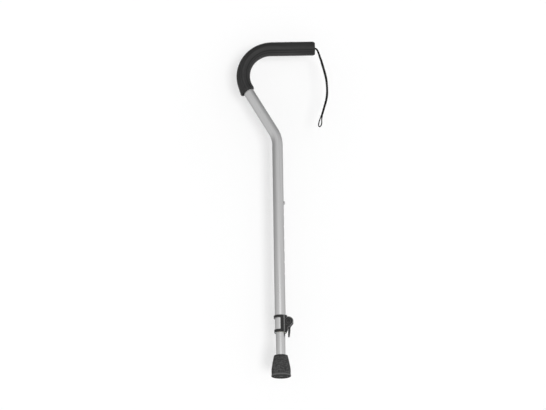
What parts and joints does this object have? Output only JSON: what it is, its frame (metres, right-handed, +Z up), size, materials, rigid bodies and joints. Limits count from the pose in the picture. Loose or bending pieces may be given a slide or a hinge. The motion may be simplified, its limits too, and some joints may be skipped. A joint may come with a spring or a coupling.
{
  "type": "single point walking cane",
  "caption": "Offset-handle aluminium walking cane with foam grip, telescoping shaft with snap button, cam-lever clamp, wrist strap and rubber tip.",
  "frame": {"origin": "middle of the rubber tip's flat underside, on the shaft's axis", "axes": "+Z up along the shaft, +X the way the handle's nose points, +Y completes a right-handed frame"},
  "size_m": [0.193, 0.0402, 0.7237],
  "materials": {
    "tube_aluminium": "satin",
    "grip_foam": "matte",
    "tip_rubber": "matte",
    "black_moulding": "satin",
    "pale_nylon": "satin",
    "hardware_steel": "satin",
    "blackened_steel": "satin",
    "strap_cord": "matte"
  },
  "bodies": {
    "lower_shaft": {"inner_tube": "tube_aluminium", "rubber_tip": "tip_rubber", "tip_washer": "hardware_steel", "snap_spring": "hardware_steel", "glide_bush": "pale_nylon"},
    "height_button": {"snap_button": "hardware_steel"},
    "upper_shaft": {"outer_tube": "tube_aluminium", "foam_grip": "grip_foam", "handle_end_plug": "black_moulding", "strap_knot": "strap_cord", "clamp_collar": "black_moulding", "anti_rattle_bush": "pale_nylon", "collar_screw": "blackened_steel", "lever_pin": "blackened_steel", "pin_clip": "blackened_steel"},
    "clamp_lever_arm": {"clamp_lever": "black_moulding"},
    "clamp_shoe": {"pressure_shoe": "pale_nylon"},
    "strap_loop": {"wrist_strap": "strap_cord"}
  },
  "joints": [
    {"name": "height_slide", "type": "slide", "parent": "lower_shaft", "child": "upper_shaft", "axis": [0, 0, 1], "range_m": [0, 0.1524]},
    {"name": "button_press", "type": "slide", "parent": "lower_shaft", "child": "height_button", "axis": [-1, 0, 0], "range_m": [0, 0.0049], "stiffness_N_per_m": 900, "springref_m": -0.003, "deforming": ["snap_spring"]},
    {"name": "lever_open", "type": "hinge", "parent": "upper_shaft", "child": "clamp_lever_arm", "pos_m": [0.0168, 0, 0.114], "axis": [0, -1, 0], "range_deg": [0, 120]},
    {"name": "shoe_press", "type": "slide", "parent": "upper_shaft", "child": "clamp_shoe", "axis": [1, 0, 0], "range_m": [0, 0.0008]},
    {"name": "strap_swing", "type": "hinge", "parent": "upper_shaft", "child": "strap_loop", "pos_m": [0.0826, 0, 0.7094], "axis": [1, 0, 0], "range_deg": [-80, 80]}
  ],
  "couplings": [
    {"joint": "shoe_press", "follows": "lever_open", "m_per_rad": 0.000381}
  ]
}
